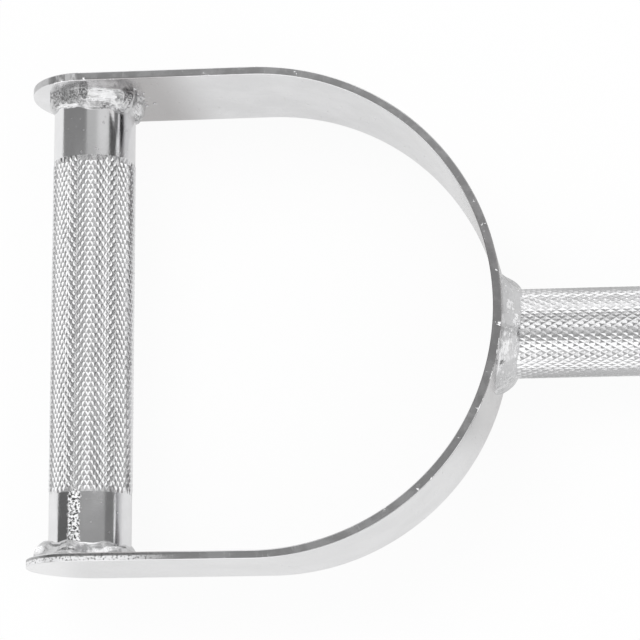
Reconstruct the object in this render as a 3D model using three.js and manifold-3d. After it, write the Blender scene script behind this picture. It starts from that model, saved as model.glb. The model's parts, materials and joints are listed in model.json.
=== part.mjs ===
// Straight cable bar: a knurled steel tube with a closed D handle welded to each end, and a
// revolving hanger at its middle that a snap hook clips into.
// Millimetres. X runs along the bar, Y along the two grips, and Z up from the surface that the
// bar lies on. The origin is on that surface, under the middle of the bar.
import * as THREE from 'three';
import { mergeVertices } from 'three/addons/utils/BufferGeometryUtils.js';
import Module from 'manifold-3d';

const wasm = await Module();
wasm.setup();

// Bar, a round tube between the bows of the two handles
const BAR_LENGTH = 670;
const BAR_DIAMETER = 26.9;
const BAR_WALL = 3;
const BAR_KNURL_LENGTH = 230; // from the weld inwards, at each end
const BAR_SIDE_STEP = 5; // how far the bar meets each bow off its middle

// Band, a flat strip bent into a D whose open side the grip closes
const BAND_WIDTH = 50.8;
const BAND_THICKNESS = 2.6;
const BOW_RADIUS = 75; // to the outer face
const ARM_LENGTH = 53; // from the bow's centre to the grip's axis
const END_REACH = 19; // from the grip's axis to the tip of a rounded end

// Grip, a knurled tube with plain collars
const GRIP_DIAMETER = 25.4;
const GRIP_WALL = 2.5;
const GRIP_KNURL_LENGTH = 104;
const KNURL_RISE = 0.15; // knurling stands this proud of the plain tube

// Welds
const GRIP_WELD_RISE = 5; // along the grip
const GRIP_WELD_SPREAD = 5; // out over the band
const BAR_WELD_RISE = 5;
const BAR_WELD_SPREAD = 4.5;
const RIPPLE_SHARE = 0.12; // of a bead's own size
const TOE_SHARES = [[1, 0.22], [0.72, 0.6], [0.36, 0.9]]; // of the spread and rise, from the toe up

// Hanger, a sleeve that turns on the bar with an eye plate welded to it
const SLEEVE_DIAMETER = 38;
const SLEEVE_LENGTH = 60;
const SLEEVE_WALL = 2.6;
const SLEEVE_EASE = 0.8; // broken outer edges
const BUSHING_WALL = 2.35;
const BUSHING_LENGTH = 18; // the part inside the sleeve
const FLANGE_THICKNESS = 2;
const FLANGE_DIAMETER = 36;
const EYE_THICKNESS = 8;
const EYE_BASE = 52;
const EYE_CENTRE = 43; // from the bar's axis to the middle of the hole
const EYE_RADIUS = 19;
const EYE_HOLE_DIAMETER = 20;
const EYE_EASE = 0.8; // broken edge of the plate
const BEAD_LEG = 5;
const BEAD_INSET = 2; // from each end of the plate's foot
const BEAD_RIPPLES = 12;
const BEAD_END_SHARE = 0.6; // of the bead's size, at its two ends

// Stop collars, which keep the hanger at the middle, and their screws
const COLLAR_DIAMETER = 36;
const COLLAR_WIDTH = 12;
const COLLAR_EASE = 0.8;
const SCREW_DIAMETER = 6;
const SCREW_EASE = 0.5;
const SCREW_RECESS = 0.4; // below the collar's rim
const SOCKET_ACROSS = 3;
const SOCKET_DEPTH = 2;

// Fits
const SEAT_GAP = 0.3; // between a piece and the round face that it seats on
const RUN_GAP = 0.3; // between the bushings and the bar that they turn on
const SIDE_PLAY = 0.5; // between a bushing's flange and the stop collar
const FLOOR_GAP = 0.1; // under the lowest corner of the hanger as it lies
const OVERRUN = 4; // a cutter reaches this far past what it cuts
const MERGE_GAP = 0.001; // corners closer than this are one

// Facets
const ROUND_STEPS = 48;
const BOW_STEPS = 32; // in a quarter turn of the bow
const WELD_STEPS = 72;
const RIPPLES = 18; // round a weld ring
const RIPPLE_STEPS = 4; // along a bead, for each ripple
const SCREW_STEPS = 24;
const HEX_SIDES = 6;

// Places that follow from the sizes
const barRadius = BAR_DIAMETER / 2;
const gripRadius = GRIP_DIAMETER / 2;
const bowInner = BOW_RADIUS - BAND_THICKNESS;
const bowCentre = BAR_LENGTH / 2 + BOW_RADIUS;
const axisHeight = BAND_WIDTH / 2;
const sleeveRadius = SLEEVE_DIAMETER / 2;
const bushingBore = barRadius + RUN_GAP;
const bushingRadius = bushingBore + BUSHING_WALL;
const sleeveBore = sleeveRadius - SLEEVE_WALL;
const flangeFace = SLEEVE_LENGTH / 2 + SEAT_GAP;
const collarFace = flangeFace + FLANGE_THICKNESS + SIDE_PLAY;
const eyeTip = EYE_CENTRE + EYE_RADIUS;

// Finishes
const chrome = { color: 0xd6d7d9, roughness: 0.14, metalness: 1 };
const knurled = { color: 0xcbccce, roughness: 0.32, metalness: 1 };
const weldMetal = { color: 0xbfc0c2, roughness: 0.26, metalness: 1 };
const nylon = { color: 0x1b1c1e, roughness: 0.55, metalness: 0 };
const blackOxide = { color: 0x2c2c2f, roughness: 0.45, metalness: 0.8 };

// A closed geometry as a solid that can be joined or cut.
function solidOf(geometry) {
  const bare = geometry.clone();
  bare.deleteAttribute('normal');
  bare.deleteAttribute('uv');
  const merged = mergeVertices(bare, MERGE_GAP);
  return new wasm.Manifold(new wasm.Mesh({
    numProp: 3,
    vertProperties: merged.attributes.position.array,
    triVerts: new Uint32Array(merged.index.array),
  }));
}

// The geometry of a solid, with its flat faces shaded flat.
function geometryOf(solid) {
  const mesh = solid.getMesh();
  const geometry = new THREE.BufferGeometry();
  geometry.setAttribute('position', new THREE.BufferAttribute(mesh.vertProperties, 3));
  geometry.setIndex(new THREE.BufferAttribute(mesh.triVerts, 1));
  const flat = geometry.toNonIndexed();
  flat.computeVertexNormals();
  return flat;
}

// One named piece with its finish.
function piece(name, geometry, finish) {
  const mesh = new THREE.Mesh(geometry, new THREE.MeshStandardMaterial(finish));
  mesh.name = name;
  return mesh;
}

// A profile of [radius, height] points, turned about the Y axis into a closed ring.
function turned(profile, steps = ROUND_STEPS) {
  const points = [...profile, profile[0]].map(([radius, height]) => new THREE.Vector2(radius, height));
  return new THREE.LatheGeometry(points, steps);
}

// The same, lying along the X axis.
function turnedAlongBar(profile, steps = ROUND_STEPS) {
  return turned(profile, steps).rotateZ(-Math.PI / 2);
}

// A plain cylinder about the Z axis, centred on the origin.
function cutter(radius, height, steps) {
  return new THREE.CylinderGeometry(radius, radius, height, steps).rotateX(Math.PI / 2);
}

// The outline of a round tube whose knurled stretches, given as [from, to], stand a little proud.
function tubeProfile(radius, wall, half, stretches) {
  const outside = stretches.flatMap(([from, to]) => [
    [radius, from],
    [radius + KNURL_RISE, from],
    [radius + KNURL_RISE, to],
    [radius, to],
  ]);
  return [[radius - wall, -half], [radius, -half], ...outside, [radius, half], [radius - wall, half]];
}

// The grip's tube, along Y, with its ends flat on the two arms.
function gripTube() {
  const knurl = [-GRIP_KNURL_LENGTH / 2, GRIP_KNURL_LENGTH / 2];
  return turned(tubeProfile(gripRadius, GRIP_WALL, bowInner, [knurl]));
}

// The bar's tube, its two ends cut to the bows that they are welded to.
function barTube() {
  const half = BAR_LENGTH / 2;
  const inner = half - BAR_KNURL_LENGTH;
  const outer = half - BAR_WELD_RISE;
  const profile = tubeProfile(barRadius, BAR_WALL, half + OVERRUN, [[-outer, -inner], [inner, outer]]);
  let tube = solidOf(turnedAlongBar(profile));
  for (const side of [-1, 1]) {
    const bow = cutter(BOW_RADIUS + SEAT_GAP, BAR_DIAMETER + OVERRUN, 4 * BOW_STEPS);
    bow.translate(side * bowCentre, -side * BAR_SIDE_STEP, 0);
    tube = tube.subtract(solidOf(bow));
  }
  return geometryOf(tube);
}

// The strip seen along its width: two straight arms and the half round between them.
function bandOutline() {
  const arm = ARM_LENGTH + END_REACH + OVERRUN;
  const outline = new THREE.Shape();
  outline.moveTo(-arm, -BOW_RADIUS);
  outline.lineTo(0, -BOW_RADIUS);
  outline.absarc(0, 0, BOW_RADIUS, -Math.PI / 2, Math.PI / 2, false);
  outline.lineTo(-arm, BOW_RADIUS);
  outline.lineTo(-arm, bowInner);
  outline.lineTo(0, bowInner);
  outline.absarc(0, 0, bowInner, Math.PI / 2, -Math.PI / 2, true);
  outline.lineTo(-arm, -bowInner);
  outline.closePath();
  return outline;
}

// The strip seen across its width: straight edges that run out in half an ellipse.
function endOutline() {
  const half = BAND_WIDTH / 2;
  const reach = BOW_RADIUS + OVERRUN;
  const outline = new THREE.Shape();
  outline.moveTo(reach, -half);
  outline.lineTo(reach, half);
  outline.lineTo(-ARM_LENGTH, half);
  outline.absellipse(-ARM_LENGTH, 0, END_REACH, half, Math.PI / 2, 3 * Math.PI / 2, false, 0);
  outline.closePath();
  return outline;
}

// The bent band: the D-shaped strip where both of its outlines agree.
function handleBand() {
  const strip = new THREE.ExtrudeGeometry(bandOutline(), {
    depth: BAND_WIDTH,
    curveSegments: BOW_STEPS,
    bevelEnabled: false,
  });
  strip.translate(0, 0, -BAND_WIDTH / 2);
  const reach = BOW_RADIUS + OVERRUN;
  const ends = new THREE.ExtrudeGeometry(endOutline(), {
    depth: 2 * reach,
    curveSegments: ROUND_STEPS / 4,
    bevelEnabled: false,
  });
  ends.rotateX(Math.PI / 2).translate(0, reach, 0);
  return geometryOf(solidOf(strip).intersect(solidOf(ends)));
}

// A rippled ring of weld about the Y axis, round a tube of the given radius, with its foot at
// height zero. The optional foot gives how far that foot drops at a place beside the axis.
function weldRing(radius, rise, spread, foot = () => 0) {
  const bore = radius + SEAT_GAP;
  const face = TOE_SHARES.map(([out, up]) => [bore + spread * out, rise * up]);
  const ring = turned([[bore, 0], [bore + spread, 0], ...face, [bore, rise]], WELD_STEPS);
  const places = ring.attributes.position;
  const place = new THREE.Vector3();
  for (let i = 0; i < places.count; i += 1) {
    place.fromBufferAttribute(places, i);
    const out = Math.hypot(place.x, place.z);
    const ripple = 1 + RIPPLE_SHARE * Math.cos(RIPPLES * Math.atan2(place.z, place.x));
    const grown = (bore + (out - bore) * ripple) / out;
    const y = place.y * ripple - foot(place.x * grown);
    places.setXYZ(i, place.x * grown, y, place.z * grown);
  }
  return ring;
}

// The drop of the bow's outer face beside the place where the bar meets it, which is itself a
// step to one side of the bow's middle.
function bowDrop(aside) {
  const fromMiddle = aside + BAR_SIDE_STEP;
  return BOW_RADIUS - Math.sqrt(BOW_RADIUS ** 2 - fromMiddle ** 2) - SEAT_GAP;
}

// One closed handle about its bow's centre, the bow's crown towards +X and the grip at -X.
// The names say which end of the bar it is on and which of its grip welds lies in front.
function handle(side, frontWeld, backWeld) {
  const group = new THREE.Group();
  group.add(piece(`${side}_handle_band`, handleBand(), chrome));

  const grip = piece(`${side}_grip`, gripTube(), knurled);
  const front = piece(frontWeld, weldRing(gripRadius, GRIP_WELD_RISE, GRIP_WELD_SPREAD), weldMetal);
  const back = piece(backWeld, weldRing(gripRadius, GRIP_WELD_RISE, GRIP_WELD_SPREAD), weldMetal);
  grip.position.set(-ARM_LENGTH, 0, 0);
  front.position.set(-ARM_LENGTH, -bowInner, 0);
  back.position.set(-ARM_LENGTH, bowInner, 0);
  back.rotation.x = Math.PI;
  group.add(grip, front, back);

  const ring = weldRing(barRadius, BAR_WELD_RISE, BAR_WELD_SPREAD, bowDrop);
  const barWeld = piece(`${side}_bar_weld`, ring.rotateZ(-Math.PI / 2), weldMetal);
  barWeld.position.set(BOW_RADIUS, -BAR_SIDE_STEP, 0);
  group.add(barWeld);
  return group;
}

// The turned sleeve, its outer edges broken.
function sleeveTube() {
  const half = SLEEVE_LENGTH / 2;
  return turnedAlongBar([
    [sleeveBore, -half],
    [sleeveRadius - SLEEVE_EASE, -half],
    [sleeveRadius, -half + SLEEVE_EASE],
    [sleeveRadius, half - SLEEVE_EASE],
    [sleeveRadius - SLEEVE_EASE, half],
    [sleeveBore, half],
  ]);
}

// The eye plate in the XY plane: a foot along the sleeve, straight sides and a round head.
function eyeOutline() {
  const foot = new THREE.Vector2(EYE_BASE / 2, 0);
  const head = new THREE.Vector2(0, EYE_CENTRE);
  const away = foot.clone().sub(head);
  const touch = away.angle() - 2 * Math.PI + Math.acos(EYE_RADIUS / away.length());
  const outline = new THREE.Shape();
  outline.moveTo(-foot.x, foot.y);
  outline.lineTo(foot.x, foot.y);
  outline.absarc(head.x, head.y, EYE_RADIUS, touch, Math.PI - touch, false);
  outline.closePath();
  const hole = new THREE.Path();
  hole.absarc(head.x, head.y, EYE_HOLE_DIAMETER / 2, 0, 2 * Math.PI, true);
  outline.holes.push(hole);
  return outline;
}

// The eye plate, its foot hollowed to sit on the sleeve.
function eyePlate() {
  const plate = new THREE.ExtrudeGeometry(eyeOutline(), {
    depth: EYE_THICKNESS - 2 * EYE_EASE,
    curveSegments: ROUND_STEPS / 4,
    bevelThickness: EYE_EASE,
    bevelSize: EYE_EASE,
    bevelOffset: -EYE_EASE,
    bevelSegments: 1,
  });
  plate.translate(0, 0, EYE_EASE - EYE_THICKNESS / 2);
  const sleeve = cutter(sleeveRadius + SEAT_GAP, EYE_BASE + 2 * OVERRUN, ROUND_STEPS).rotateY(Math.PI / 2);
  return geometryOf(solidOf(plate).subtract(solidOf(sleeve)));
}

// A rippled bead along X in the corner between the sleeve and the plate's upper face.
function eyeBead() {
  const seat = sleeveRadius + SEAT_GAP;
  const plateFace = EYE_THICKNESS / 2 + SEAT_GAP;
  const corner = new THREE.Vector2(Math.sqrt(seat ** 2 - plateFace ** 2), plateFace);
  const toe = new THREE.Vector2(Math.sqrt(seat ** 2 - (plateFace + BEAD_LEG) ** 2), plateFace + BEAD_LEG);
  const top = new THREE.Vector2(corner.x + BEAD_LEG, plateFace);
  const length = EYE_BASE - 2 * BEAD_INSET;
  const bead = new THREE.ExtrudeGeometry(new THREE.Shape([corner, top, toe]), {
    depth: length,
    steps: BEAD_RIPPLES * RIPPLE_STEPS,
    bevelEnabled: false,
  });
  const places = bead.attributes.position;
  for (let i = 0; i < places.count; i += 1) {
    const along = places.getZ(i) / length;
    const ripple = 1 + RIPPLE_SHARE * Math.cos(2 * Math.PI * BEAD_RIPPLES * along);
    const size = along === 0 || along === 1 ? BEAD_END_SHARE : ripple;
    const out = corner.x + (places.getX(i) - corner.x) * size;
    const up = corner.y + (places.getY(i) - corner.y) * size;
    places.setXYZ(i, length * (along - 0.5), out, up);
  }
  return bead;
}

// A flanged bushing along X: the flange's outer face at zero, the body towards +X.
function bushing() {
  const end = FLANGE_THICKNESS + SEAT_GAP + BUSHING_LENGTH;
  return turnedAlongBar([
    [bushingBore, 0],
    [FLANGE_DIAMETER / 2, 0],
    [FLANGE_DIAMETER / 2, FLANGE_THICKNESS],
    [bushingRadius, FLANGE_THICKNESS],
    [bushingRadius, end],
    [bushingBore, end],
  ]);
}

// The angle below level at which the eye plate's lower corner comes down to the floor.
function restingTilt() {
  const reach = Math.hypot(eyeTip - EYE_EASE, EYE_THICKNESS / 2);
  const corner = Math.atan2(EYE_THICKNESS / 2, eyeTip - EYE_EASE);
  return Math.asin((axisHeight - FLOOR_GAP) / reach) - corner;
}

// The hanger about the bar's axis, its eye towards +Y before the group is tipped over.
function hanger() {
  const group = new THREE.Group();
  group.add(piece('hanger_sleeve', sleeveTube(), chrome));
  group.add(piece('hanger_eye', eyePlate(), chrome));
  const lower = piece('hanger_lower_weld', eyeBead(), weldMetal);
  const upper = piece('hanger_upper_weld', eyeBead(), weldMetal);
  upper.rotation.y = Math.PI;
  group.add(lower, upper);
  for (const [side, end] of [['left', -1], ['right', 1]]) {
    const bush = piece(`${side}_bushing`, bushing(), nylon);
    bush.position.x = end * (flangeFace + FLANGE_THICKNESS);
    bush.rotation.y = end < 0 ? 0 : Math.PI;
    group.add(bush);
  }
  group.position.z = axisHeight;
  group.rotation.x = Math.PI + restingTilt();
  return group;
}

// A stop collar along X with a hole for its screw straight up.
function collarRing() {
  const half = COLLAR_WIDTH / 2;
  const radius = COLLAR_DIAMETER / 2;
  const ring = turnedAlongBar([
    [barRadius + SEAT_GAP, -half],
    [radius - COLLAR_EASE, -half],
    [radius, -half + COLLAR_EASE],
    [radius, half - COLLAR_EASE],
    [radius - COLLAR_EASE, half],
    [barRadius + SEAT_GAP, half],
  ]);
  const hole = cutter(SCREW_DIAMETER / 2 + SEAT_GAP, radius + OVERRUN, SCREW_STEPS);
  hole.translate(0, 0, (radius + OVERRUN) / 2);
  return geometryOf(solidOf(ring).subtract(solidOf(hole)));
}

// A grub screw standing on the bar, with a hexagon socket in its top.
function grubScrew() {
  const foot = barRadius + SEAT_GAP;
  const top = COLLAR_DIAMETER / 2 - SCREW_RECESS;
  const radius = SCREW_DIAMETER / 2;
  const body = new THREE.LatheGeometry([
    new THREE.Vector2(0, foot),
    new THREE.Vector2(radius - SCREW_EASE, foot),
    new THREE.Vector2(radius, foot + SCREW_EASE),
    new THREE.Vector2(radius, top - SCREW_EASE),
    new THREE.Vector2(radius - SCREW_EASE, top),
    new THREE.Vector2(0, top),
  ], SCREW_STEPS).rotateX(Math.PI / 2);
  const corner = SOCKET_ACROSS / Math.sqrt(3);
  const socket = cutter(corner, SOCKET_DEPTH + OVERRUN, HEX_SIDES);
  socket.translate(0, 0, top - SOCKET_DEPTH + (SOCKET_DEPTH + OVERRUN) / 2);
  return geometryOf(solidOf(body).subtract(solidOf(socket)));
}

const bar = new THREE.Group();

const crossBar = piece('cross_bar', barTube(), knurled);
crossBar.position.z = axisHeight;
bar.add(crossBar);

const leftHandle = handle('left', 'left_grip_front_weld', 'left_grip_back_weld');
leftHandle.position.set(-bowCentre, BAR_SIDE_STEP, axisHeight);
const rightHandle = handle('right', 'right_grip_back_weld', 'right_grip_front_weld');
rightHandle.position.set(bowCentre, -BAR_SIDE_STEP, axisHeight);
rightHandle.rotation.z = Math.PI;
bar.add(leftHandle, rightHandle);

bar.add(hanger());

for (const [side, end] of [['left', -1], ['right', 1]]) {
  const collar = piece(`${side}_stop_collar`, collarRing(), chrome);
  const screw = piece(`${side}_set_screw`, grubScrew(), blackOxide);
  const place = new THREE.Vector3(end * (collarFace + COLLAR_WIDTH / 2), 0, axisHeight);
  collar.position.copy(place);
  screw.position.copy(place);
  bar.add(collar, screw);
}

export default bar;
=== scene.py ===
"""Straight cable bar, chrome plated: a knurled bar with a welded D handle at each end and a
revolving hanger at its middle. Metres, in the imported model's own frame."""
import json
import math
import random

import bmesh
import bpy
from mathutils import Euler, Matrix, Vector, noise


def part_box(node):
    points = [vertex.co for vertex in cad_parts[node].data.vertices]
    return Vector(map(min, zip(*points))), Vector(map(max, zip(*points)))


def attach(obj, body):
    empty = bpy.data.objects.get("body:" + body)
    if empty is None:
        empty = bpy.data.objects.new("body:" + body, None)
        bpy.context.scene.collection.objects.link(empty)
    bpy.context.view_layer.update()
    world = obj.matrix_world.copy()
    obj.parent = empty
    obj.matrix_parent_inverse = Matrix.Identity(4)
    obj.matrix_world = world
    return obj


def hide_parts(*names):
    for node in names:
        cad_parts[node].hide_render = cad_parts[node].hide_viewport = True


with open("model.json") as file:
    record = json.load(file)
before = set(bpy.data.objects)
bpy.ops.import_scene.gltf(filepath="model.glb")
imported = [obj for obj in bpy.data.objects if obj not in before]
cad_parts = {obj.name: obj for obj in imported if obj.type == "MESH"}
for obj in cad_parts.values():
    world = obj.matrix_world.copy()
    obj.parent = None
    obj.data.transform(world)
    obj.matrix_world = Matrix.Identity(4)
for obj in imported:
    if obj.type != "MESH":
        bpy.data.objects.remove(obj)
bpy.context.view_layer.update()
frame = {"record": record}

# Camera, looking down at the left handle
CAMERA_PLACE = Vector((-0.2915, -0.1588, 0.8780))
CAMERA_TURN = Euler((math.radians(10.84), math.radians(6.76), math.radians(-0.15)), "XYZ")
CAMERA_LENS = 160.3
CAMERA_SENSOR = 36
CAMERA_CLIP = 0.01

# Sizes that the frame gives
band_low, band_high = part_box("left_handle_band")
grip_low, grip_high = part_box("left_grip")
bar_low, bar_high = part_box("cross_bar")
sleeve_low, sleeve_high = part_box("hanger_sleeve")
eye_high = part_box("hanger_eye")[1]
collar_low, collar_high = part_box("right_stop_collar")
flange_low, flange_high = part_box("right_bushing")
screw_low, screw_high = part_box("right_set_screw")
eye_face = next(m for m in frame["record"]["mounts"] if m["name"] == "hanger_eye_face")

BAND_WIDTH = band_high.z - band_low.z
BOW_RADIUS = (band_high.y - band_low.y) / 2
BOW_INNER = (grip_high.y - grip_low.y) / 2
BAND_THICKNESS = BOW_RADIUS - BOW_INNER
BOW_CENTRE = Vector((band_high.x - BOW_RADIUS, (band_high.y + band_low.y) / 2, BAND_WIDTH / 2))
GRIP_X = (grip_high.x + grip_low.x) / 2
ARM_LENGTH = BOW_CENTRE.x - GRIP_X
END_REACH = GRIP_X - band_low.x
CROWN_X = band_high.x
AXIS_HEIGHT = BAND_WIDTH / 2
AT_AXIS = Matrix.Translation((0, 0, AXIS_HEIGHT))
ALONG_BAR = Matrix.Rotation(math.pi / 2, 4, "Y")
HANGER_TURN = math.pi + math.asin(-eye_face["axis"][1])

# Every shape
SIDES = (("left", -1), ("right", 1))
SAME_PLACE = 0.000001
ROUND_STEPS = 96
EASE_STEPS = 3

# How far the faces turn at a sharp edge, in radians: of a piece as made, of the bored collar and
# of the screw with its socket
SHARP_TURN = 1.0
BORED_TURN = 0.9
SOCKET_TURN = 0.7

# Band
BAND_EASE = 0.00028
BAND_STEPS = 340
BAND_ROWS = 12
END_SIDES = 80
BAND_WAVE = 0.00007
BAND_WAVE_LENGTH = 0.028

# Stretches along the strip, counted from the crown, each with a softness: where the sheared edge
# is grainy and grimy, its outer half painted with white glints, where it is scuffed, and where its
# inner and its outer corner chip more
WORN_AND_GLINTING_EDGE = (-0.200, -0.148, 0.012)
SCUFFED_EDGE = (0.1718, 0.1788, 0.0006)
CHIPPED_INNER_CORNER = (0.152, 0.181, 0.008)
CHIPPED_OUTER_CORNER = (-0.040, -0.010, 0.004)

# Where the welding has dulled the strip: up to this far from the crown, and between these two
# distances from it, with a softness. Between the two, on the inner face, the darkening is also
# painted shade, standing in for the shadow under the grip that the face reflects
BAR_HEAT_REACH = 0.052
GRIP_HEAT_AND_SHADE = (0.141, 0.171, 0.010)

# Knurling
KNURL_RISE = 0.00015
GRIP_KNURL = {"depth": 0.00017, "flank": 0.00051}
BAR_KNURL = {"depth": 0.00001, "flank": 0.00058}
KNURL_STARTS = 45
KNURL_SLANT = 1.71
KNURL_FADE = 0.0003
KNURL_JITTER = 0.000012
KNURL_JOIN = 0.000005
KNURL_END_REACH = 0.0022

# Tubes
GRIP_RADIUS = (grip_high.x - grip_low.x) / 2 - KNURL_RISE
GRIP_WALL = 0.0025
GRIP_KNURL_HALF = 0.052
BAR_RADIUS = (bar_high.z - bar_low.z) / 2 - KNURL_RISE
BAR_WALL = 0.003
BAR_KNURL_FROM = 0.105
BAR_KNURL_TO = 0.3322
SEAT_GAP = 0.0003
SEAM_TURN = math.radians(-12)
SEAM_HALF_TURN = math.radians(8.5)
BAR_SEED = 5
HANDLE_SEEDS = {"left": 11, "right": 31}

# Welds
GRIP_WELD_RISE = 0.0052
BAR_WELD_RISE = 0.0052

# Each ring of weld: its spread over the strip along its own X and Y, how much further it reaches
# towards -X, how lumpy it is, and its spots. A spot is a turn in degrees and a height, from foot
# to tip, with a half-width of each, and a tone: above zero, painted white glints and, on the less
# lumpy rings, a painted pale sheen, the weld raised a little; below zero, painted shade, the weld
# sunk.
FRONT_GRIP_WELD = {
    "spread": (0.0029, 0.0046), "lean": 0.32, "lumps": 0.35,
    "spots": ((-126, 0.80, 26, 0.10, -1.0), (-82, 0.98, 20, 0.10, 1.2), (-62, 0.50, 24, 0.16, 0.7),
              (-104, 0.40, 18, 0.10, -0.8), (-36, 0.72, 16, 0.10, -0.9), (-150, 0.35, 14, 0.2, 0.8)),
}
BACK_GRIP_WELD = {
    "spread": (0.0019, 0.0048), "lean": -0.32, "lumps": 0.8,
    "spots": ((117, 0.28, 30, 0.46, -0.9), (91, 0.22, 5, 0.34, -1.6), (73, 0.34, 20, 0.36, 1.3),
              (123, 0.88, 24, 0.30, 1.3), (156, 0.10, 18, 0.18, -1.6), (8, 0.60, 18, 0.40, 0.9),
              (28, 0.30, 8, 0.34, -1.0), (62, 0.88, 26, 0.24, -0.35)),
}
BAR_WELD = {
    "spread": (0.0050, 0.0050), "lean": 0.0, "lumps": 0.45,
    "spots": ((90, 0.50, 170, 1.4, 0.22), (39, 0.80, 16, 0.34, 0.12), (68, 0.44, 11, 0.24, 0.42),
              (84, 0.70, 12, 0.20, 0.40), (114, 0.24, 9, 0.24, 0.75), (129, 0.12, 4, 0.18, -0.9),
              (145, 0.75, 14, 0.34, 0.12), (100, 0.84, 10, 0.14, -0.4)),
}
SPOT_RELIEF = 0.00018
SPOT_SINK_MOST = 2.0
WELD_SINK = 0.0006
WELD_STEPS = 300
WELD_ROWS = 22
PUDDLE_PITCH = 0.0033
PUDDLE_RISE = 0.00016
PUDDLE_ROUNDNESS = 0.6
PUDDLE_LAP = 0.5

# How a ring's width and height swell round it, as a share and as swells per radius, and how far
# its section goes from hollow, at zero, to bulging, at one: middle, swing, least, swells
WIDTH_SWELL = (0.25, 2.6)
HEIGHT_SWELL = (0.25, 2.2)
FATNESS = (0.62, 0.9, 0.1, 1.7)

# Lumps of weld metal, from broad to fine: how long and how high
LUMPS = ((0.0060, 0.00055), (0.0024, 0.00026), (0.0009, 0.00007))
LUMP_SEED_STEP = 7.3
SPATTER_COUNT = 34
SPATTER_SIZE = (0.0003, 0.0009)
SPATTER_SQUASH = (0.6, 1.4, 0.7)
SPATTER_REACH = 0.0014
SPATTER_SPREAD = 0.55
FLOW_SHARE = 0.2
HOLLOW_DEPTH = 0.0004

# Hanger
SLEEVE_RADIUS = (sleeve_high.z - sleeve_low.z) / 2
SLEEVE_HALF = sleeve_high.x
SLEEVE_WALL = 0.0026
SLEEVE_EASE = 0.0008
EYE_THICKNESS = 0.008
EYE_CENTRE = 0.043
EYE_RADIUS = 0.019
EYE_HOLE_RADIUS = 0.010
EYE_FOOT_HALF = eye_high.x
EYE_EASE = 0.0008
EYE_STEPS = 72
BEAD_RADIUS = 0.0038
BEAD_INSET = 0.002
BEAD_PITCH = 0.0021
BEAD_SIDES = 28
BEAD_STEPS = 150
BEAD_FULLNESS = 0.92
BEAD_SCALES = 0.10
BEAD_SCALE_ROUNDNESS = 0.7
BEAD_CRESCENT = 0.35
BEAD_LUMPS = 0.14
BEAD_LUMPS_ALONG = 9
BEAD_END_SQUARENESS = 10
LOWER_BEAD_SEED = 3.0
UPPER_BEAD_SEED = 8.0
BUSHING_LENGTH = 0.018
FLANGE_THICKNESS = 0.002
FLANGE_EASE = 0.0003
RUN_GAP = 0.0003
FLANGE_RADIUS = (flange_high.z - flange_low.z) / 2
COLLAR_RADIUS = (collar_high.z - collar_low.z) / 2
COLLAR_MIDDLE = (collar_high.x + collar_low.x) / 2
COLLAR_EASE = 0.0008
COLLAR_MOUTH = 0.0018
SCREW_RADIUS = (screw_high.x - screw_low.x) / 2
SCREW_RECESS = 0.0004
SCREW_EASE = 0.0004
SOCKET_ACROSS = 0.003
SOCKET_DEPTH = 0.002
SOCKET_SIDES = 6

# Stage. The floor beside the bar looks greyer in the chrome: from this far north or south of the
# bar's axis, up to this far along it, and by this share
FLOOR_HALF = 30
GREY_FLOOR_FROM = (0.020, 0.034)
GREY_FLOOR_TO = (0.345, 0.325)
GREY_FLOOR_SHARE = 0.60
FLOOR_DIM_SHARE = 0.10

# How white the floor is to the camera and to the chrome, the rest being lit paper, and the
# levels of the surroundings: as light on the scene, and as the chrome sees them
FLOOR_CAMERA_SHARE = 0.93
FLOOR_CHROME_SHARE = 0.62
WHITE = (1.0, 1.0, 1.0, 1.0)
PAPER = (0.82, 0.82, 0.82, 1.0)
WORLD_LEVEL = 0.75
WALL_LEVEL = 1.25
LAMPS = (
    {"name": "key", "place": (-0.9, 0.7, 1.6), "target": (-0.2, 0, 0), "size": 1.2, "power": 14},
    {"name": "fill", "place": (0.9, -0.8, 1.4), "target": (0, 0, 0), "size": 1.4, "power": 8},
)

# What polished metal sees overhead, in order. A panel is placed by its turn about Y from straight
# up, in degrees, and by how far north it lies, each with a softness.
PANELS = (
    {"turn": (-97, 97, 2), "north": (-0.10, 1.10, 0.03), "level": 0.50},
    {"turn": (-97, 97, 2), "north": (-0.10, 0.38, 0.03), "level": 0.34},
    {"turn": (-3, 20, 4), "north": (-0.80, -0.10, 0.03), "level": 0.27},
    {"turn": (-97, -66, 4), "north": (-0.80, -0.10, 0.03), "level": 0.35},
    {"turn": (66, 97, 3), "north": (-0.45, -0.10, 0.03), "level": 0.20},
    {"turn": (-60, 66, 4), "north": (-0.60, -0.43, 0.03), "level": 0.60},
    {"turn": (20, 66, 4), "north": (-0.85, -0.48, 0.03), "level": 0.45},
    {"turn": (-20, 20, 5), "north": (0.52, 0.95, 0.04), "level": 1.20},
    {"turn": (-32, 32, 5), "north": (0.42, 0.50, 0.03), "level": 0.80},
    {"turn": (-75, 75, 10), "north": (0.93, 1.10, 0.02), "level": 1.40},
    {"turn": (-97, -46, 3), "north": (-0.08, 0.18, 0.02), "level": 0.12},
    {"turn": (-97, -90, 1), "north": (-0.08, 0.36, 0.02), "level": 0.05},
    {"turn": (-90, -16, 6), "north": (0.20, 0.36, 0.02), "level": 0.24},
    {"turn": (-12, 52, 2), "north": (0.19, 0.36, 0.02), "level": 0.52},
    {"turn": (18, 52, 10), "north": (0.19, 0.36, 0.02), "level": 0.74},
    {"turn": (52, 88, 2), "north": (-0.08, 0.19, 0.02), "level": 0.20},
    {"turn": (52, 88, 2), "north": (0.19, 0.36, 0.02), "level": 0.08},
)


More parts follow.
